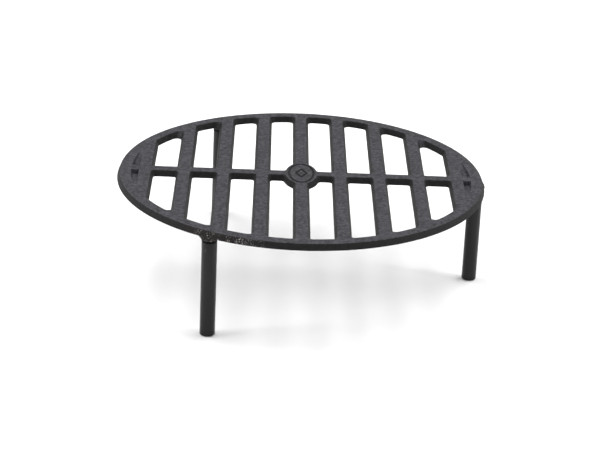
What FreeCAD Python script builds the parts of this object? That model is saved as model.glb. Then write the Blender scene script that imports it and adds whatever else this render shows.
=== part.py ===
"""Round cast-iron hearth grate on three screw-in legs.

Frame: millimetres, +Z up, origin on the floor under the middle of the plate.
The cross-bar runs along X, the grate bars run along Y, and one leg stands
at the +X end of the cross-bar.
"""
import FreeCAD, Part
import itertools
import math
import os

os.makedirs("parts", exist_ok=True)

# Overall sizes
overall_diameter = 400.0       # across the lower edge of the rim
total_height = 118.0           # floor to the top face

# Cast plate: every wall of the casting leans outwards on its way down
plate_thickness = 7.0
draft_angle = 22.5             # degrees from vertical
rim_top_width = 12.2
bar_pitch = 42.35
bar_top_width = 12.8
cross_bar_top_width = 12.8
rim_corner_radius = 5.5        # slot corners at the rim
bar_corner_radius = 3.5        # slot corners at the cross-bar and the medallion
fillet_share = 0.4             # most of a short wall that one corner's fillet may take

# Blind pockets, where a slot would be too narrow to go through
pocket_floor = 2.4             # metal left under a pocket at the cross-bar
pocket_length = 46.0           # along the bar, to where the rising floor meets the top
pocket_least_width = 3.0       # a narrower one is left out

# Oval medallion where the bars cross
medallion_half_width = 17.3    # along the cross-bar, at the top face
medallion_half_length = 31.0   # along the middle bar, at the top face
ring_inset = 2.9               # from the medallion's edge to the engraved ring
engraving_width = 2.2
engraving_depth = 1.0
lozenge_half_width = 7.0
lozenge_half_length = 14.0

# Leg bosses under the rim
leg_inset = 9.0                # from the rim's lower edge to a leg's axis
side_leg_angle = 119.2         # from the +X leg to each of the other two
boss_margin = 0.4              # round the leg, at the boss's lower face
boss_flare = 3.1               # how much wider the boss gets on its way up
boss_drop = 5.0                # below the plate
boss_overhang = 0.4            # past the rim's lower edge, where the boss is trimmed

# Legs, studs and washers
leg_diameter = 16.0
leg_foot_chamfer = 1.2
leg_shoulder_chamfer = 0.4
stud_diameter = 8.0
stud_end_chamfer = 0.8
stud_in_leg = 15.0
socket_roof = 2.8              # metal left above the socket in the plate
socket_end_gap = 0.4           # between the stud's tip and the socket's end
stud_clearance = 0.05          # radial, stud in its socket and in the leg
washer_thickness = 1.6
washer_clearance = 0.2         # radial, washer on the stud

overrun = 2.0                  # how far cutting tools pass the faces they cut

draft_slope = math.tan(math.radians(draft_angle))
draft_run = plate_thickness * draft_slope
plate_bottom = total_height - plate_thickness
outer_top_radius = overall_diameter / 2 - draft_run
inner_top_radius = outer_top_radius - rim_top_width
pocket_depth = plate_thickness - pocket_floor
leg_circle_radius = overall_diameter / 2 - leg_inset
boss_bottom = plate_bottom - boss_drop
boss_bottom_radius = leg_diameter / 2 + boss_margin
boss_top_radius = boss_bottom_radius + boss_flare
socket_depth = plate_thickness + boss_drop - socket_roof
leg_top = boss_bottom - washer_thickness
axis_z = FreeCAD.Vector(0, 0, 1)


def drafted_block(x_low, x_high, y_low, y_high, top, bottom):
    """Block with the stated outline at the top face, narrower below it."""
    rings = []
    for z in (bottom, top):
        inset = (total_height - z) * draft_slope
        rings.append([
            FreeCAD.Vector(x_low + inset, y_low + inset, z),
            FreeCAD.Vector(x_high - inset, y_low + inset, z),
            FreeCAD.Vector(x_high - inset, y_high - inset, z),
            FreeCAD.Vector(x_low + inset, y_high - inset, z),
        ])
    low, high = rings
    outlines = [low, high]
    for i in range(4):
        j = (i + 1) % 4
        outlines.append([low[i], low[j], high[j], high[i]])
    faces = [Part.Face(Part.makePolygon(points + points[:1])) for points in outlines]
    return Part.makeSolid(Part.makeShell(faces))


def drafted_disc(top_radius, top, bottom, grows_down):
    """Disc with the stated radius at the top face and drafted sides."""
    sign = 1 if grows_down else -1
    low = top_radius + sign * (total_height - bottom) * draft_slope
    high = top_radius + sign * (total_height - top) * draft_slope
    return Part.makeCone(low, high, top - bottom, FreeCAD.Vector(0, 0, bottom), axis_z)


def oval_face(half_width, half_length, z):
    """Flat oval, longer along Y when half_length is the larger."""
    centre = FreeCAD.Vector(0, 0, z)
    if half_length >= half_width:
        far, side = FreeCAD.Vector(0, half_length, z), FreeCAD.Vector(-half_width, 0, z)
    else:
        far, side = FreeCAD.Vector(half_width, 0, z), FreeCAD.Vector(0, half_length, z)
    return Part.Face(Part.Wire(Part.Ellipse(far, side, centre).toShape()))


def drafted_oval(top, bottom):
    """The medallion's outline as a solid that grows on its way down."""
    wires = []
    for z in (bottom, top):
        grow = (total_height - z) * draft_slope
        face = oval_face(medallion_half_width + grow, medallion_half_length + grow, z)
        wires.append(face.OuterWire)
    return Part.makeLoft(wires, True, True)


def rounded_corners(tool, at_rim, radius):
    """Fillet the tool's upright edges, either those on the rim's inner wall or the others."""
    levels = [vertex.Point.z for vertex in tool.Vertexes]
    middle = (min(levels) + max(levels)) / 2
    chosen = []
    corners = []
    for edge in tool.Edges:
        ends = sorted((vertex.Point for vertex in edge.Vertexes), key=lambda point: point.z)
        if not ends[0].z < middle < ends[-1].z:
            continue
        wall_radius = inner_top_radius - (total_height - ends[0].z) * draft_slope
        on_rim = abs(math.hypot(ends[0].x, ends[0].y) - wall_radius) < 0.01
        if on_rim == at_rim:
            chosen.append(edge)
            corners.append(ends[0])
    walls = [one.distanceToPoint(other) for one, other in itertools.combinations(corners, 2)]
    return tool.makeFillet(min(radius, fillet_share * min(walls)), chosen)


def gap_tool(x_low, x_high, side, top, bottom):
    """Space between two bars, on one side of the cross-bar, inside the rim."""
    y_near = cross_bar_top_width / 2
    y_far = overall_diameter
    y_low, y_high = (y_near, y_far) if side > 0 else (-y_far, -y_near)
    block = drafted_block(x_low, x_high, y_low, y_high, top, bottom)
    return block.common(drafted_disc(inner_top_radius, top, bottom, grows_down=False))


def slot_tool(x_low, x_high, side):
    """Cutting tool of one through slot."""
    top, bottom = total_height + overrun, plate_bottom - overrun
    tool = gap_tool(x_low, x_high, side, top, bottom)
    medallion_reach = medallion_half_width + draft_run + overrun
    if x_low < medallion_reach and x_high > -medallion_reach:
        tool = tool.cut(drafted_oval(top + overrun, bottom - overrun))
    tool = rounded_corners(tool, False, bar_corner_radius)
    return rounded_corners(tool, True, rim_corner_radius)


def pocket_tool(x_low, x_high, side):
    """Cutting tool of one blind pocket with a floor that ramps up along Y."""
    top, bottom = total_height + overrun, total_height - pocket_depth
    tool = gap_tool(x_low, x_high, side, top, bottom)
    y_start = cross_bar_top_width / 2
    y_end = y_start + pocket_length
    profile = [
        FreeCAD.Vector(x_low, side * y_start, bottom),
        FreeCAD.Vector(x_low, side * y_end, total_height),
        FreeCAD.Vector(x_low, side * y_end, top),
        FreeCAD.Vector(x_low, side * y_start, top),
    ]
    ramp = Part.Face(Part.makePolygon(profile + profile[:1]))
    return tool.common(ramp.extrude(FreeCAD.Vector(x_high - x_low, 0, 0)))


def gap_tools():
    """Tools for every gap: slots that fit inside the rim, then the pockets."""
    tools = []
    gap_width = bar_pitch - bar_top_width
    column = 0
    while True:
        near = column * bar_pitch + bar_top_width / 2
        far = near + gap_width
        reach = math.sqrt(max(inner_top_radius ** 2 - (cross_bar_top_width / 2) ** 2, 0))
        for x_low, x_high in ((near, far), (-far, -near)):
            for side in (1, -1):
                if far < inner_top_radius - draft_run:
                    tools.append(slot_tool(x_low, x_high, side))
                elif reach - near > pocket_least_width:
                    tools.append(pocket_tool(x_low, x_high, side))
        if far >= inner_top_radius - draft_run:
            return tools
        column += 1


def groove(outer_face, inner_face):
    """Engraving between two outlines drawn at the engraving's floor."""
    depth = FreeCAD.Vector(0, 0, engraving_depth + overrun)
    return outer_face.extrude(depth).cut(inner_face.extrude(depth))


def lozenge_face(half_width, half_length, z):
    corners = [
        FreeCAD.Vector(half_width, 0, z),
        FreeCAD.Vector(0, half_length, z),
        FreeCAD.Vector(-half_width, 0, z),
        FreeCAD.Vector(0, -half_length, z),
    ]
    return Part.Face(Part.makePolygon(corners + corners[:1]))


def engravings():
    """Oval ring round the medallion with a plain lozenge in the middle."""
    floor = total_height - engraving_depth
    ring_width = medallion_half_width - ring_inset
    ring_length = medallion_half_length - ring_inset
    ring = groove(
        oval_face(ring_width, ring_length, floor),
        oval_face(ring_width - engraving_width, ring_length - engraving_width, floor),
    )
    long_inset = engraving_width * lozenge_half_length / lozenge_half_width
    lozenge = groove(
        lozenge_face(lozenge_half_width, lozenge_half_length, floor),
        lozenge_face(lozenge_half_width - engraving_width, lozenge_half_length - long_inset, floor),
    )
    return [ring, lozenge]


def leg_places():
    """Name and plan position of each leg."""
    angles = {
        "right": 0.0,
        "back_left": side_leg_angle,
        "front_left": -side_leg_angle,
    }
    places = {}
    for name, angle in angles.items():
        turn = math.radians(angle)
        places[name] = (leg_circle_radius * math.cos(turn), leg_circle_radius * math.sin(turn))
    return places


def make_plate():
    """The casting: rim, bars, cross-bar, medallion, pockets and leg bosses."""
    plate = drafted_disc(outer_top_radius, total_height, plate_bottom, grows_down=True)
    for tool in gap_tools():
        plate = plate.cut(tool)
    for tool in engravings():
        plate = plate.cut(tool)
    trim_radius = overall_diameter / 2 + boss_overhang
    trim = Part.makeCylinder(trim_radius, boss_drop, FreeCAD.Vector(0, 0, boss_bottom), axis_z)
    for x, y in leg_places().values():
        low = FreeCAD.Vector(x, y, boss_bottom)
        boss = Part.makeCone(boss_bottom_radius, boss_top_radius, boss_drop, low, axis_z)
        plate = plate.fuse(boss.common(trim))
    socket_radius = stud_diameter / 2 + stud_clearance
    for x, y in leg_places().values():
        low = FreeCAD.Vector(x, y, boss_bottom - overrun)
        plate = plate.cut(Part.makeCylinder(socket_radius, socket_depth + overrun, low, axis_z))
    return plate.removeSplitter()


def chamfered_rod(diameter, low, high, low_chamfer, high_chamfer, x, y):
    """Round rod along Z with a chamfer at each end."""
    radius = diameter / 2
    outline = [
        FreeCAD.Vector(0, 0, low),
        FreeCAD.Vector(radius - low_chamfer, 0, low),
        FreeCAD.Vector(radius, 0, low + low_chamfer),
        FreeCAD.Vector(radius, 0, high - high_chamfer),
        FreeCAD.Vector(radius - high_chamfer, 0, high),
        FreeCAD.Vector(0, 0, high),
    ]
    face = Part.Face(Part.makePolygon(outline + outline[:1]))
    rod = face.revolve(FreeCAD.Vector(0, 0, 0), axis_z, 360)
    rod.translate(FreeCAD.Vector(x, y, 0))
    return rod


def make_leg(x, y):
    rod = chamfered_rod(leg_diameter, 0, leg_top, leg_foot_chamfer, leg_shoulder_chamfer, x, y)
    low = FreeCAD.Vector(x, y, leg_top - stud_in_leg)
    hole_radius = stud_diameter / 2 + stud_clearance
    return rod.cut(Part.makeCylinder(hole_radius, stud_in_leg + overrun, low, axis_z))


def make_stud(x, y):
    low = leg_top - stud_in_leg
    high = boss_bottom + socket_depth - socket_end_gap
    return chamfered_rod(stud_diameter, low, high, stud_end_chamfer, stud_end_chamfer, x, y)


def make_washer(x, y):
    low = FreeCAD.Vector(x, y, leg_top)
    ring = Part.makeCylinder(leg_diameter / 2, washer_thickness, low, axis_z)
    hole_radius = stud_diameter / 2 + washer_clearance
    return ring.cut(Part.makeCylinder(hole_radius, washer_thickness, low, axis_z))


def main():
    shapes = {"grate_plate": make_plate()}
    for place, (x, y) in leg_places().items():
        shapes[f"{place}_leg"] = make_leg(x, y)
        shapes[f"{place}_leg_stud"] = make_stud(x, y)
        shapes[f"{place}_leg_washer"] = make_washer(x, y)
    for node, shape in shapes.items():
        shape.exportStep(f"parts/{node}.step")
        box = shape.BoundBox
        print(node, len(shape.Solids), shape.isValid(), round(shape.Volume / 1000, 2), "cm3",
              [round(v, 2) for v in (box.XMin, box.XMax, box.YMin, box.YMax, box.ZMin, box.ZMax)])


main()
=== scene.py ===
"""Round cast-iron hearth grate on three screw-in legs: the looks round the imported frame."""
import math

import bmesh
import bpy
from bpy.props import FloatProperty, FloatVectorProperty, IntProperty, PointerProperty
from mathutils import Matrix, Vector, noise


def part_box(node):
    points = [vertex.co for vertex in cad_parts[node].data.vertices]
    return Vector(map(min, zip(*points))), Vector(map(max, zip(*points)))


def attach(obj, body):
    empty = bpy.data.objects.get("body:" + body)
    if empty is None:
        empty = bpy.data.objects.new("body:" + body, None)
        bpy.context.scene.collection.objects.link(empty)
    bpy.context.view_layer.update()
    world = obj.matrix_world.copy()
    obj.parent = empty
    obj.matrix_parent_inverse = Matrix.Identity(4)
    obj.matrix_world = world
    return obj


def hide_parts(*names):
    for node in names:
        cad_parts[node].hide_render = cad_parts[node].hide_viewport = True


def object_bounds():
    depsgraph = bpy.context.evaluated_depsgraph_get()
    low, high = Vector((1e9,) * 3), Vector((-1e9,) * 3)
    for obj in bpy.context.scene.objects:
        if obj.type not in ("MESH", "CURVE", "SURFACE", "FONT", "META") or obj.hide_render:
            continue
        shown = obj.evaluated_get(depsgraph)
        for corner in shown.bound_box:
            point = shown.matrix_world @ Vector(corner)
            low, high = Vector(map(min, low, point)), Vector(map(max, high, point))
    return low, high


bl_info = {
    "name": "Round hearth grate",
    "version": (1, 0, 0),
    "blender": (4, 5, 0),
    "location": "View3D > Sidebar > Grate",
    "description": "Cast plate, painted legs, threaded studs and washers of a round hearth grate",
    "category": "Add Mesh",
}

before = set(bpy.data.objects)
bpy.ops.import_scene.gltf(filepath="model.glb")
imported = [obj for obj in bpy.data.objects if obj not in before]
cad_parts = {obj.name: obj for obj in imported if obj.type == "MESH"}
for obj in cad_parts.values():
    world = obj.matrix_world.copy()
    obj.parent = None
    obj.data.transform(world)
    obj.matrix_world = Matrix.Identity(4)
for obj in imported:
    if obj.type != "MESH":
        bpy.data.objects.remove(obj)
CAD_LOW, CAD_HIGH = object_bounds()
LEGS = ("right", "back_left", "front_left")

# Lengths are in metres and angles in radians.

MERGE = 1e-6                            # points closer than this are one point
CAD_EDGE = math.radians(28)             # edges of a CAD node sharper than this are rounded
CREASE = math.radians(40)               # edges sharper than this stay sharp in the shading

ENGRAVED = (0.0155, 0.0295)             # half sizes round the medallion's engraved ring
ENGRAVED_DEPTHS = (0.0006, 0.0016)      # below the top, where the engraving's floor lies and gets painted shade
FINE_DEPTH = 0.006                      # below the top, the deepest edge too fine to round
POCKETS_START = 0.170                   # from the middle, along the cross-bar
POCKETS_REACH = 0.056                   # from the cross-bar's middle line
POCKETS_END = 0.190                     # from the middle, as a radius

WORN_DEPTHS = (0.001, 0.003)            # below the top, where wear and painted highlight on an edge fade out
RIM_SIDE = (0.186, 0.194)               # radii over which the rim's outer side starts
RUST_REACH = (0.012, 0.040)             # from a boss's middle, where rust fades out
GLINTS_REACH = (0.018, 0.075)          # from the front boss, where the painted glints fade out
GLINTS_SHORTER = 4.0                   # how much sooner they fade to the left of it

SWELLS, LUMPS = 55.0, 190.0             # sizes of the unevenness, as waves in a metre

FOOT_ROUND = (0.0012, 0.0001)           # width and rise of the worn ring round a foot
SOCKET_CLEARANCE = 0.00005              # round the stud in a leg
SOCKET_CHAMFER = 0.0005
LEG_EDGE_RADIUS = 0.0002
LEG_FACETS = 96

STUD_END_TAPER = 0.0008

HIGH_LIGHTS = {"high_left": (-0.8, 0.45, 1.5), "high_right": (0.8, 0.45, 1.5)}
HIGH_LIGHT_SPREAD = math.radians(50)
SIDE_BANKS = {"left_bank": (-1.7, -0.5, 0.55), "right_bank": (1.7, -0.4, 0.55)}
BANK_SIZE = (0.35, 1.1)
BANK_AIM = (0, 0, 0.08)

CAMERA_PLACE = (-0.03953, -2.05645, 0.90402)
CAMERA_YAW, CAMERA_PITCH, CAMERA_ROLL = 0.02022, 0.39098, 0.04397
CAMERA_SHIFT = (-0.0014, 0.0008)


def node_axis(node):
    """Plan position of the middle of a CAD node."""
    low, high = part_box(node)
    return Vector(((low.x + high.x) / 2, (low.y + high.y) / 2, 0))


# ---------------------------------------------------------------- sizes and colours


class GrateCasting(bpy.types.PropertyGroup):
    edge_radius: FloatProperty(
        name="Edge radius",
        description="Rounding that the sand mould leaves on every edge of the casting",
        default=0.0006, min=0.0, unit="LENGTH")
    edge_segments: IntProperty(
        name="Edge segments",
        description="Facets across a rounded edge",
        default=3, min=1)
    mesh_step: FloatProperty(
        name="Mesh step",
        description="Longest edge left on the faces before the cast unevenness is added",
        default=0.010, min=0.001, unit="LENGTH")
    unevenness: FloatProperty(
        name="Unevenness",
        description="How far the casting's walls wander inwards",
        default=0.00026, min=0.0, unit="LENGTH")
    colour: FloatVectorProperty(
        name="Iron colour",
        description="Main colour of the bare, oiled iron skin",
        default=(0.0335, 0.0325, 0.0373), subtype="COLOR")
    rust_colour: FloatVectorProperty(
        name="Rust colour",
        description="Colour of the thin rust in the grain",
        default=(0.046, 0.032, 0.026), subtype="COLOR")
    grain: FloatProperty(
        name="Sand grain",
        description="Depth of the sand-cast grain",
        default=0.00042, min=0.0, unit="LENGTH")


class GrateLegs(bpy.types.PropertyGroup):
    foot_chamfer: FloatProperty(
        name="Foot chamfer",
        description="Chamfer at the foot of a leg",
        default=0.0012, min=0.0, unit="LENGTH")
    shoulder_chamfer: FloatProperty(
        name="Shoulder chamfer",
        description="Chamfer at the top of a leg",
        default=0.0004, min=0.0, unit="LENGTH")
    colour: FloatVectorProperty(
        name="Paint colour",
        description="Colour of the semi-gloss black paint",
        default=(0.006, 0.006, 0.0064), subtype="COLOR")
    roughness: FloatProperty(
        name="Paint roughness",
        description="Roughness of the paint where it is even",
        default=0.23, min=0.0, max=1.0, subtype="FACTOR")


class GrateStuds(bpy.types.PropertyGroup):
    pitch: FloatProperty(
        name="Thread pitch",
        description="Travel of the thread in one turn",
        default=0.00125, min=0.0005, unit="LENGTH")
    thread_depth: FloatProperty(
        name="Thread depth",
        description="Crest to root of the thread, measured on the radius",
        default=0.00068, min=0.0001, unit="LENGTH")
    steps: IntProperty(
        name="Steps in a turn",
        description="Facets in one turn of the thread",
        default=36, min=12)
    colour: FloatVectorProperty(
        name="Steel colour",
        description="Colour of the oiled steel",
        default=(0.33, 0.32, 0.31), subtype="COLOR")


class GrateWashers(bpy.types.PropertyGroup):
    edge_radius: FloatProperty(
        name="Edge radius",
        description="Rounding on the washer's four edges",
        default=0.0003, min=0.0, unit="LENGTH")
    # Near black: the oxide's own colour, also standing as painted shade for the dark line under
    # each boss.
    colour: FloatVectorProperty(
        name="Washer colour",
        description="Colour of the black oxide",
        default=(0.003, 0.003, 0.0033), subtype="COLOR")


class GrateStage(bpy.types.PropertyGroup):
    floor_radius: FloatProperty(
        name="Floor radius",
        description="Radius of the pale floor",
        default=9.0, min=1.0, unit="LENGTH")
    floor_colour: FloatVectorProperty(
        name="Floor colour",
        description="Colour of the pale floor",
        default=(0.86, 0.86, 0.86), subtype="COLOR")
    sky_strength: FloatProperty(
        name="Sky strength",
        description="Strength of the plain background",
        default=0.42, min=0.0)
    high_strength: FloatProperty(
        name="High light",
        description="Strength of each of the two soft lights high up behind",
        default=2.2, min=0.0)
    bank_power: FloatProperty(
        name="Side banks",
        description="Power of the tall soft lights at the sides",
        default=11.0, min=0.0, unit="POWER")
    lens: FloatProperty(
        name="Lens",
        description="Focal length of the camera",
        default=121.33, min=10.0, unit="CAMERA")


# ---------------------------------------------------------------- shader expressions


class Socket:
    """A shader socket that takes part in Python sums; every sum adds its Math node."""

    def __init__(self, finish, link):
        self.finish = finish
        self.link = link

    def math(self, operation, first, second, clamp=False):
        settings = {"operation": operation, "use_clamp": clamp}
        return self.finish.node("ShaderNodeMath", settings, {0: first, 1: second})

    def __add__(self, other):
        return self.math("ADD", self, other)

    def __radd__(self, other):
        return self.math("ADD", other, self)

    def __sub__(self, other):
        return self.math("SUBTRACT", self, other)

    def __rsub__(self, other):
        return self.math("SUBTRACT", other, self)

    def __mul__(self, other):
        return self.math("MULTIPLY", self, other)

    def __rmul__(self, other):
        return self.math("MULTIPLY", other, self)

    def clamped(self):
        """The same value, kept between 0 and 1."""
        return self.math("ADD", self, 0.0, clamp=True)

    def above(self, low, high):
        """0 below low, 1 above high, smooth between."""
        return self.finish.node("ShaderNodeMapRange", {"interpolation_type": "SMOOTHSTEP"},
                                {"Value": self, "From Min": low, "From Max": high})


class Finish:
    """A new material and the nodes that feed its shader."""

    def __init__(self, name):
        self.material = bpy.data.materials.new(name)
        self.material.use_nodes = True
        self.tree = self.material.node_tree
        self.tree.nodes.clear()

    def node(self, kind, settings=None, values=None, out=0):
        """A node of any kind: its settings first, then the values or links of its sockets."""
        made = self.tree.nodes.new(kind)
        for name, value in (settings or {}).items():
            setattr(made, name, value)
        for name, value in (values or {}).items():
            socket = made.inputs[name]
            if isinstance(value, Socket):
                self.tree.links.new(value.link, socket)
            else:
                socket.default_value = (*value, 1.0) if socket.type == "RGBA" else value
        return Socket(self, made.outputs[out]) if made.outputs else None

    def place(self):
        return self.node("ShaderNodeTexCoord", out="Object")

    def attribute(self, name):
        return self.node("ShaderNodeAttribute", {"attribute_name": name}, out="Fac")

    def noise(self, where, scale, detail, roughness=0.55):
        return self.node("ShaderNodeTexNoise", None, {
            "Vector": where, "Scale": scale, "Detail": detail, "Roughness": roughness})

    def cells(self, where, scale):
        return self.node("ShaderNodeTexVoronoi", None, {"Vector": where, "Scale": scale},
                         out="Distance")

    def stretched(self, where, upright):
        """Object coordinates with the height scaled, for marks along or round a bar."""
        return self.node("ShaderNodeMapping", None, {
            "Vector": where, "Scale": (1.0, 1.0, upright)})

    def blend(self, amount, first, second):
        """Mix of two colours, each a value or a link."""
        return self.node("ShaderNodeMix", {"data_type": "RGBA"},
                         {0: amount, 6: first, 7: second}, out=2)

    def bump(self, height, distance):
        return self.node("ShaderNodeBump", None, {"Height": height, "Distance": distance})

    def skin(self, values):
        """The shader itself, from values or links by socket name."""
        return self.node("ShaderNodeBsdfPrincipled", None, values)

    def finished(self, surface):
        """The material, once a shader is joined to its surface."""
        self.node("ShaderNodeOutputMaterial", None, {"Surface": surface})
        return self.material


def shade(colour, factor):
    """A colour made darker or lighter."""
    return tuple(part * factor for part in colour)


# ---------------------------------------------------------------- finishes


def cast_iron(colour, rust_colour, grain_depth):
    """Dark grey iron with a sand-cast skin and thin rust: worn top edges lighter as wear and
    painted highlight, painted glints by the front boss, painted shade on the walls, in the
    engraving and in small pits.
    """
    iron = Finish("cast_iron")
    where = iron.place()
    fine = iron.noise(where, scale=1900.0, detail=2.0, roughness=0.6)
    sand = iron.noise(where, scale=760.0, detail=4.0, roughness=0.7)
    mottle = iron.noise(where, scale=285.0, detail=4.0, roughness=0.72)
    lumps = iron.noise(where, scale=90.0, detail=5.0, roughness=0.6)
    broad = iron.noise(where, scale=9.0, detail=3.0, roughness=0.5)

    # Painted shade: small pits are darkened inside.
    pits = 1 - iron.cells(where, scale=110.0).above(0.07, 0.14)
    pits = pits * iron.noise(where, scale=33.0, detail=2.0).above(0.57, 0.63)
    # Worn top edges, lighter as wear and as painted highlight.
    worn_edge_highlight = (iron.attribute("edge_wear_and_highlight") * sand.above(0.42, 0.66)).clamped()
    # Painted glints: bright specks along the rim by the front boss.
    chips = iron.noise(where, scale=760.0, detail=3.0, roughness=0.6).above(0.55, 0.61)
    chips = chips * iron.attribute("painted_glints")
    chips = chips * iron.noise(where, scale=120.0, detail=2.0).above(0.40, 0.52)
    rust = (broad.above(0.5, 0.68) * sand.above(0.45, 0.65) * 0.35
            + iron.attribute("rust_patch") * sand.above(0.40, 0.58)).clamped()

    # Painted shade: the colour of the walls, about a fifth of the iron's.
    walls = tuple(0.22 * part * tint for part, tint in zip(colour, (1.1, 1.04, 0.86)))
    base = iron.blend((sand * 0.65 + fine * 0.35).above(0.36, 0.62),
                      shade(colour, 0.55), shade(colour, 1.5))
    base = iron.blend(mottle.above(0.50, 0.61) * 0.65, base, shade(colour, 2.2))
    base = iron.blend((1 - mottle).above(0.51, 0.61) * 0.7, base, shade(colour, 0.3))
    base = iron.blend(lumps.above(0.42, 0.7) * 0.25, base, shade(colour, 1.3))
    # Painted shade on every wall that does not face up.
    base = iron.blend(iron.attribute("painted_wall_shade") * 0.9, base, walls)
    # Painted highlight, mixed with wear, on the top edges.
    base = iron.blend(worn_edge_highlight * 0.5, base, shade(colour, 2.6))
    base = iron.blend(rust * 0.16, base, rust_colour)
    # Painted shade in the pits.
    base = iron.blend(pits * 0.8, base, shade(colour, 0.3))
    # Painted shade in the medallion's engraving.
    base = iron.blend(iron.attribute("groove") * 0.8, base, shade(colour, 0.2))
    # Painted glints near the front boss.
    base = iron.blend(chips * 0.9, base, (0.44, 0.42, 0.40))

    rough = 0.60 + 0.16 * sand - 0.14 * worn_edge_highlight + 0.12 * rust - 0.2 * chips
    height = sand * 0.9 + fine * 0.45 + lumps * 0.5 - pits * 0.8 + chips * 0.8
    return iron.finished(iron.skin({
        "Base Color": base, "Roughness": rough.clamped(), "Specular IOR Level": 0.16,
        "Normal": iron.bump(height, grain_depth)}))


def leg_paint(colour, roughness):
    """Semi-gloss black paint over turned bar, with sags, specks and scuffs."""
    paint = Finish("leg_paint")
    where = paint.place()
    rings = paint.noise(paint.stretched(where, 14.0), scale=90.0, detail=3.0, roughness=0.5)
    sags = paint.noise(paint.stretched(where, 0.25), scale=120.0, detail=3.0, roughness=0.5)
    dust = paint.noise(where, scale=1400.0, detail=2.0, roughness=0.6)
    scuffs = paint.noise(paint.stretched(where, 0.3), scale=260.0, detail=5.0,
                         roughness=0.7).above(0.62, 0.7)
    chips = 1 - paint.cells(where, scale=170.0).above(0.03, 0.09)
    chips = chips * paint.noise(where, scale=55.0, detail=2.0).above(0.6, 0.68)

    base = paint.blend(sags.above(0.35, 0.7), shade(colour, 0.85), shade(colour, 1.25))
    base = paint.blend(scuffs * 0.4, base, (0.06, 0.06, 0.06))
    base = paint.blend(chips * 0.7, base, (0.11, 0.10, 0.095))
    rough = roughness + 0.10 * sags + 0.16 * scuffs + 0.06 * dust
    height = rings * 0.15 + sags * 0.6 + dust * 0.12 - chips * 0.7
    return paint.finished(paint.skin({
        "Base Color": base, "Roughness": rough.clamped(), "Specular IOR Level": 0.24,
        "Normal": paint.bump(height, 0.0004)}))


def stud_steel(colour):
    """Plain oiled thread steel with painted shade in the thread roots and fine turning marks."""
    steel = Finish("stud_steel")
    where = steel.place()
    turned = steel.noise(steel.stretched(where, 40.0), scale=160.0, detail=3.0, roughness=0.6)
    stains = steel.noise(where, scale=240.0, detail=4.0, roughness=0.6).above(0.5, 0.68)
    base = steel.blend(turned, shade(colour, 0.8), shade(colour, 1.15))
    base = steel.blend(stains * 0.5, base, (0.16, 0.12, 0.08))
    # Painted shade in the thread roots.
    base = steel.blend(steel.attribute("thread_root_shade") * 0.75, base, (0.05, 0.045, 0.04))
    rough = 0.30 + 0.15 * turned + 0.25 * stains
    return steel.finished(steel.skin({
        "Base Color": base, "Roughness": rough.clamped(), "Metallic": 1.0,
        "Normal": steel.bump(turned, 0.00006)}))


def washer_black(colour):
    """Black oxide, near black as its own colour and as painted shade for the dark line under each
    boss, faintly rubbed at the edges.
    """
    oxide = Finish("washer_black")
    where = oxide.place()
    mottle = oxide.noise(where, scale=500.0, detail=4.0, roughness=0.6)
    rubbed = oxide.attribute("edge_wear_and_highlight") * mottle.above(0.42, 0.6)
    base = oxide.blend(mottle.above(0.3, 0.7), shade(colour, 0.8), shade(colour, 1.4))
    base = oxide.blend(rubbed * 0.1, base, (0.10, 0.10, 0.10))
    rough = 0.60 + 0.15 * mottle - 0.12 * rubbed
    return oxide.finished(oxide.skin({
        "Base Color": base, "Roughness": rough.clamped(), "Specular IOR Level": 0.03,
        "Normal": oxide.bump(mottle, 0.0001)}))


def pale_floor(colour):
    """Matt floor with the faintest mottling, clear from below so that it hides nothing."""
    matt = Finish("pale_floor")
    mottle = matt.noise(matt.place(), scale=3.0, detail=3.0, roughness=0.5)
    above = matt.skin({"Base Color": matt.blend(mottle, shade(colour, 0.99), colour),
                       "Roughness": 0.9, "Specular IOR Level": 0.1})
    below = matt.node("ShaderNodeBsdfTransparent")
    from_below = matt.node("ShaderNodeNewGeometry", out="Backfacing")
    return matt.finished(matt.node("ShaderNodeMixShader", None,
                                   {0: from_below, 1: above, 2: below}))


# ---------------------------------------------------------------- mesh helpers


def piece_from(name, work, material, body=None):
    """A finished piece at the origin from a bmesh, riding on its body."""
    mesh = bpy.data.meshes.new(name)
    work.to_mesh(mesh)
    work.free()
    piece = bpy.data.objects.new(name, mesh)
    bpy.context.scene.collection.objects.link(piece)
    mesh.materials.append(material)
    if body:
        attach(piece, body)
    return piece


def merged_copy(node):
    """A bmesh of a CAD node with its loose triangles merged and its flat faces whole."""
    work = bmesh.new()
    work.from_mesh(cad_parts[node].data)
    bmesh.ops.remove_doubles(work, verts=work.verts, dist=MERGE)
    bmesh.ops.dissolve_limit(work, angle_limit=math.radians(0.5), use_dissolve_boundaries=False,
                             verts=work.verts, edges=work.edges, delimit=set())
    return work


def sharp_edges(work, least_angle):
    return [edge for edge in work.edges
            if edge.is_manifold and edge.calc_face_angle(0.0) > least_angle]


def round_edges(work, edges, radius, segments, clamp=True):
    bmesh.ops.bevel(work, geom=edges, offset=radius, offset_type="OFFSET", segments=segments,
                    profile=0.5, affect="EDGES", clamp_overlap=clamp, material=-1)


def face_outwards(work):
    """Turn the faces of a closed solid outwards."""
    bmesh.ops.recalc_face_normals(work, faces=work.faces)
    if work.calc_volume(signed=True) < 0:
        bmesh.ops.reverse_faces(work, faces=work.faces)


def shade_smooth(work, crease=CREASE):
    """Smooth faces with the edges over the crease angle kept sharp."""
    for face in work.faces:
        face.smooth = True
    for edge in work.edges:
        edge.smooth = not (edge.is_manifold and edge.calc_face_angle(0.0) > crease)


def fade(value, low, high):
    """0 below low, 1 above high, smooth between."""
    share = min(max((value - low) / (high - low), 0.0), 1.0)
    return share * share * (3 - 2 * share)


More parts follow.
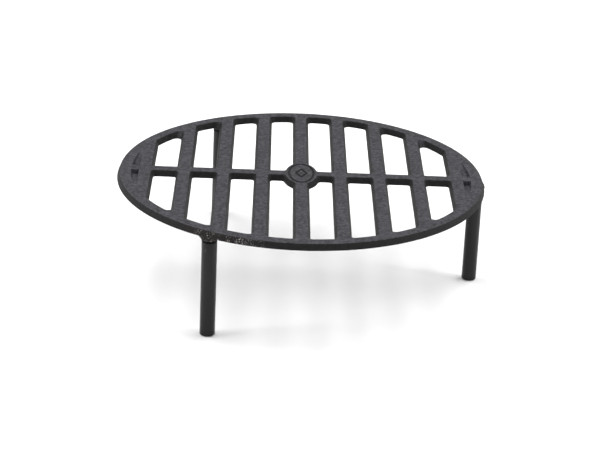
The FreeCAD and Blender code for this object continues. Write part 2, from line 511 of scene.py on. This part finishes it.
def outline_edges(work, axis, outline):
    """The points and edges of an outline of (radius, height), on the X side of an axis."""
    verts = [work.verts.new((axis.x + reach, axis.y, height)) for reach, height in outline]
    return verts + [work.edges.new(pair) for pair in zip(verts, verts[1:])]


def lathed(outline, axis):
    """A closed turned solid from (radius, height) points, about an upright axis."""
    work = bmesh.new()
    bmesh.ops.spin(work, geom=outline_edges(work, axis, outline), cent=axis, axis=(0, 0, 1),
                   angle=math.tau, steps=LEG_FACETS, use_merge=True, dvec=(0, 0, 0))
    bmesh.ops.remove_doubles(work, verts=work.verts, dist=MERGE)
    face_outwards(work)
    return work


def threaded_rod(axis, radius, low, high, pitch, depth, steps):
    """A right-hand thread: one tooth's outline spun up a helix, its ends cut flat and capped."""
    work = bmesh.new()
    turns = math.ceil((high - low) / pitch) + 2
    start = low - pitch
    root, shoulder = radius - depth, radius - depth * 0.12
    tooth = ((root, 0.0), (root, 0.125), (shoulder, 0.44), (radius, 0.5), (shoulder, 0.56),
             (root, 0.875), (root, 1.0))
    outline = [(reach, start + share * pitch) for reach, share in tooth]
    bmesh.ops.spin(work, geom=outline_edges(work, axis, outline), cent=axis, axis=(0, 0, 1),
                   angle=math.tau * turns, steps=steps * turns, use_merge=False,
                   dvec=(0, 0, pitch / steps))
    bmesh.ops.remove_doubles(work, verts=work.verts, dist=MERGE)
    for height, outwards in ((low, (0, 0, -1)), (high, (0, 0, 1))):
        cut = bmesh.ops.bisect_plane(work, geom=work.verts[:] + work.edges[:] + work.faces[:],
                                     dist=1e-7, plane_co=(0, 0, height), plane_no=outwards,
                                     clear_outer=True, clear_inner=False)
        rim = [item for item in cut["geom_cut"] if isinstance(item, bmesh.types.BMEdge)]
        bmesh.ops.contextual_create(work, geom=rim)
    for vert in work.verts:
        inside = min(vert.co.z - low, high - vert.co.z)
        offset = Vector((vert.co.x - axis.x, vert.co.y - axis.y, 0))
        limit = radius - max(STUD_END_TAPER - inside, 0.0)
        if offset.length > limit:
            offset *= limit / offset.length
            vert.co.x, vert.co.y = axis.x + offset.x, axis.y + offset.y
    face_outwards(work)
    # Where the thread roots get painted shade.
    roots = work.verts.layers.float.new("thread_root_shade")
    for vert in work.verts:
        reach = math.hypot(vert.co.x - axis.x, vert.co.y - axis.y)
        vert[roots] = 1.0 if reach < radius - depth * 0.6 else 0.0
    return work


# ---------------------------------------------------------------- the casting's skin


def in_medallion(at):
    """True inside the medallion's engraved ring."""
    return (at.x / ENGRAVED[0]) ** 2 + (at.y / ENGRAVED[1]) ** 2 < 1.0


def fine_edge(edge, top):
    """True for the edges of the engraving and of the end pockets, too fine to round."""
    at = (edge.verts[0].co + edge.verts[1].co) / 2
    pocket = (abs(at.x) > POCKETS_START and abs(at.y) < POCKETS_REACH
              and at.xy.length < POCKETS_END)
    return at.z > top - FINE_DEPTH and (in_medallion(at) or pocket)


def cut_faces(work, mesh_step):
    """Cut the faces into a grid, so that the unevenness has points to move."""
    for axis in (0, 1):
        length = CAD_HIGH[axis] - CAD_LOW[axis]
        steps = int(length / mesh_step)
        for step in range(1, steps):
            middle, across = Vector(), Vector()
            middle[axis] = CAD_LOW[axis] + length * step / steps
            across[axis] = 1.0
            bmesh.ops.bisect_plane(work, geom=work.verts[:] + work.edges[:] + work.faces[:],
                                   dist=MERGE, plane_co=middle, plane_no=across,
                                   clear_outer=False, clear_inner=False)
    bmesh.ops.triangulate(work, faces=work.faces, quad_method="BEAUTY", ngon_method="BEAUTY")


def mark_casting(work, top):
    """Where the casting gets edge wear with painted highlight, painted shade on its walls and
    engraving, rust, and painted glints, for its material.
    """
    names = ("edge_wear_and_highlight", "painted_wall_shade", "groove", "rust_patch", "painted_glints")
    marks = {name: work.verts.layers.float.new(name) for name in names}
    bosses = {leg: node_axis(f"{leg}_leg") for leg in LEGS}
    for vert in work.verts:
        at, out = vert.co, vert.normal
        spread = max(1.0 - face.normal.dot(out) for face in vert.link_faces)
        near_top = fade(at.z, top - WORN_DEPTHS[1], top - WORN_DEPTHS[0])
        # Wear and painted highlight on the sharp top edges.
        vert[marks["edge_wear_and_highlight"]] = fade(spread, 0.01, 0.05) * near_top
        # Painted shade on every wall that does not face up.
        vert[marks["painted_wall_shade"]] = 1.0 - fade(out.z, 0.55, 0.93)
        # Painted shade in the medallion's engraving.
        sunk = top - ENGRAVED_DEPTHS[1] < at.z < top - ENGRAVED_DEPTHS[0]
        vert[marks["groove"]] = 1.0 if in_medallion(at) and sunk else 0.0

        outside = fade(math.hypot(at.x, at.y), *RIM_SIDE) * (1.0 - fade(out.z, 0.7, 0.95))
        reaches = {leg: math.hypot(at.x - boss.x, at.y - boss.y) for leg, boss in bosses.items()}
        vert[marks["rust_patch"]] = outside * (1.0 - fade(min(reaches.values()), *RUST_REACH))
        # Painted glints on the rim's outer side by the front boss, fewer to its left.
        to_left = at.x <= bosses["front_left"].x
        reach = reaches["front_left"] * (GLINTS_SHORTER if to_left else 1.0)
        vert[marks["painted_glints"]] = outside * (1.0 - fade(reach, *GLINTS_REACH))


def roughen_casting(work, depth):
    """Press every wall in a little, never out, the way loose mould sand leaves it."""
    for vert in work.verts:
        swell = 0.5 + 0.5 * noise.noise(vert.co * SWELLS)
        lump = 0.5 + 0.5 * noise.noise(vert.co * LUMPS + Vector((7.0, 3.0, 1.0)))
        flat = fade(vert.normal.z, 0.8, 0.98)
        press = max(0.55 * swell + 0.45 * lump, 0.0) * depth * (1.0 - 0.7 * flat)
        vert.co -= vert.normal * press
        vert.co = [min(max(part, low), high) for part, low, high in zip(vert.co, CAD_LOW, CAD_HIGH)]


# ---------------------------------------------------------------- lights and camera


def add_light(name, kind, where, towards, **settings):
    """A light of a kind at a point, aimed at another."""
    data = bpy.data.lights.new(name, kind)
    for setting, value in settings.items():
        setattr(data, setting, value)
    lamp = bpy.data.objects.new(name, data)
    bpy.context.scene.collection.objects.link(lamp)
    aim = Vector(towards) - Vector(where)
    turn = aim.to_track_quat("-Z", "Y").to_matrix().to_4x4()
    lamp.matrix_world = Matrix.Translation(where) @ turn


def add_camera(lens):
    """The camera, in front of the grate and above it, rolled a little."""
    ahead = Vector((math.sin(CAMERA_YAW) * math.cos(CAMERA_PITCH),
                    math.cos(CAMERA_YAW) * math.cos(CAMERA_PITCH), -math.sin(CAMERA_PITCH)))
    side = Vector((math.cos(CAMERA_YAW), -math.sin(CAMERA_YAW), 0))
    up = side.cross(ahead)
    side, up = (side * math.cos(CAMERA_ROLL) + up * math.sin(CAMERA_ROLL),
                up * math.cos(CAMERA_ROLL) - side * math.sin(CAMERA_ROLL))
    data = bpy.data.cameras.new("camera")
    data.lens = lens
    data.sensor_width = 36.0
    data.clip_start, data.clip_end = 0.05, 60.0
    data.shift_x, data.shift_y = CAMERA_SHIFT
    camera = bpy.data.objects.new("camera", data)
    bpy.context.scene.collection.objects.link(camera)
    turn = Matrix((side, up, -ahead)).transposed().to_4x4()
    camera.matrix_world = Matrix.Translation(CAMERA_PLACE) @ turn
    bpy.context.scene.camera = camera


# ---------------------------------------------------------------- operators


class GRATE_OT_casting(bpy.types.Operator):
    """Build the cast plate from the frame's plate, with soft edges and cast unevenness"""

    bl_idname = "grate.casting"
    bl_label = "Cast plate"

    def execute(self, context):
        sizes = context.scene.grate_casting
        work = merged_copy("grate_plate")
        top = CAD_HIGH.z
        edges = [edge for edge in sharp_edges(work, CAD_EDGE) if not fine_edge(edge, top)]
        round_edges(work, edges, sizes.edge_radius, sizes.edge_segments, clamp=False)
        cut_faces(work, sizes.mesh_step)
        work.normal_update()
        mark_casting(work, top)
        roughen_casting(work, sizes.unevenness)
        shade_smooth(work)
        iron = cast_iron(tuple(sizes.colour), tuple(sizes.rust_colour), sizes.grain)
        piece = piece_from("grate_casting", work, iron, "grate")
        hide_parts("grate_plate")
        return {"FINISHED"}


class GRATE_OT_legs(bpy.types.Operator):
    """Turn the three painted legs with their tapped sockets"""

    bl_idname = "grate.legs"
    bl_label = "Legs"

    def execute(self, context):
        sizes = context.scene.grate_legs
        paint = leg_paint(tuple(sizes.colour), sizes.roughness)
        for leg in LEGS:
            low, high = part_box(f"{leg}_leg")
            stud_low, stud_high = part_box(f"{leg}_leg_stud")
            radius = (high.x - low.x) / 2
            bore = (stud_high.x - stud_low.x) / 2 + SOCKET_CLEARANCE
            foot, shoulder = sizes.foot_chamfer, sizes.shoulder_chamfer
            worn_width, worn_rise = FOOT_ROUND
            work = lathed([
                (0, 0), (radius - foot - worn_width, 0), (radius - foot, worn_rise),
                (radius, foot), (radius, high.z - shoulder), (radius - shoulder, high.z),
                (bore + SOCKET_CHAMFER, high.z), (bore, high.z - SOCKET_CHAMFER),
                (bore, stud_low.z), (0, stud_low.z),
            ], node_axis(f"{leg}_leg"))
            round_edges(work, sharp_edges(work, math.radians(20)), LEG_EDGE_RADIUS, 2)
            shade_smooth(work)
            piece = piece_from(f"{leg}_painted_leg", work, paint, f"{leg}_leg")
            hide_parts(f"{leg}_leg")
        return {"FINISHED"}


class GRATE_OT_studs(bpy.types.Operator):
    """Cut the three threaded studs"""

    bl_idname = "grate.studs"
    bl_label = "Studs"

    def execute(self, context):
        sizes = context.scene.grate_studs
        steel = stud_steel(tuple(sizes.colour))
        for leg in LEGS:
            low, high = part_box(f"{leg}_leg_stud")
            work = threaded_rod(node_axis(f"{leg}_leg_stud"), (high.x - low.x) / 2,
                                low.z, high.z, sizes.pitch, sizes.thread_depth, sizes.steps)
            shade_smooth(work, math.radians(50))
            piece = piece_from(f"{leg}_threaded_stud", work, steel, f"{leg}_leg")
            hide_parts(f"{leg}_leg_stud")
        return {"FINISHED"}


class GRATE_OT_washers(bpy.types.Operator):
    """Make the three black washers"""

    bl_idname = "grate.washers"
    bl_label = "Washers"

    def execute(self, context):
        sizes = context.scene.grate_washers
        black = washer_black(tuple(sizes.colour))
        for leg in LEGS:
            work = merged_copy(f"{leg}_leg_washer")
            round_edges(work, sharp_edges(work, CAD_EDGE), sizes.edge_radius, 3)
            # Edge wear and painted highlight, strongest on the rounded edges.
            worn = work.verts.layers.float.new("edge_wear_and_highlight")
            for vert in work.verts:
                vert[worn] = 1.0 if len(vert.link_faces) > 3 else 0.4
            shade_smooth(work)
            piece = piece_from(f"{leg}_black_washer", work, black, f"{leg}_washer")
            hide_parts(f"{leg}_leg_washer")
        return {"FINISHED"}


class GRATE_OT_stage(bpy.types.Operator):
    """Set the pale floor, the soft lights, the background and the camera"""

    bl_idname = "grate.stage"
    bl_label = "Stage"

    def execute(self, context):
        sizes = context.scene.grate_stage
        work = bmesh.new()
        bmesh.ops.create_circle(work, cap_ends=True, segments=96, radius=sizes.floor_radius)
        floor = piece_from("floor", work, pale_floor(tuple(sizes.floor_colour)))

        world = bpy.data.worlds.new("plain_sky")
        context.scene.world = world
        world.use_nodes = True
        background = world.node_tree.nodes["Background"]
        background.inputs["Color"].default_value = (1, 1, 1, 1)
        background.inputs["Strength"].default_value = sizes.sky_strength

        for name, where in HIGH_LIGHTS.items():
            add_light(name, "SUN", where, (0, 0, 0),
                      energy=sizes.high_strength, angle=HIGH_LIGHT_SPREAD)
        for name, where in SIDE_BANKS.items():
            add_light(name, "AREA", where, BANK_AIM, shape="RECTANGLE",
                      size=BANK_SIZE[0], size_y=BANK_SIZE[1], energy=sizes.bank_power)

        context.scene.view_settings.view_transform = "Standard"
        add_camera(sizes.lens)
        return {"FINISHED"}


class GRATE_PT_panel(bpy.types.Panel):
    """Steps that build the grate"""

    bl_idname = "GRATE_PT_panel"
    bl_label = "Round hearth grate"
    bl_space_type = "VIEW_3D"
    bl_region_type = "UI"
    bl_category = "Grate"

    def draw(self, context):
        for name, group, operator in STEPS:
            box = self.layout.box()
            for size in group.__annotations__:
                box.prop(getattr(context.scene, name), size)
            box.operator(operator.bl_idname)


STEPS = (
    ("grate_stage", GrateStage, GRATE_OT_stage),
    ("grate_casting", GrateCasting, GRATE_OT_casting),
    ("grate_legs", GrateLegs, GRATE_OT_legs),
    ("grate_studs", GrateStuds, GRATE_OT_studs),
    ("grate_washers", GrateWashers, GRATE_OT_washers),
)
CLASSES = (*(cls for _, *pair in STEPS for cls in pair), GRATE_PT_panel)


def register():
    for cls in CLASSES:
        bpy.utils.register_class(cls)
    for name, group, _ in STEPS:
        setattr(bpy.types.Scene, name, PointerProperty(type=group))


def unregister():
    for name, _, _ in STEPS:
        delattr(bpy.types.Scene, name)
    for cls in reversed(CLASSES):
        bpy.utils.unregister_class(cls)


def main():
    register()
    bpy.ops.grate.stage()
    bpy.ops.grate.casting()
    bpy.ops.grate.legs()
    bpy.ops.grate.studs()
    bpy.ops.grate.washers()


if __name__ == "__main__":
    main()
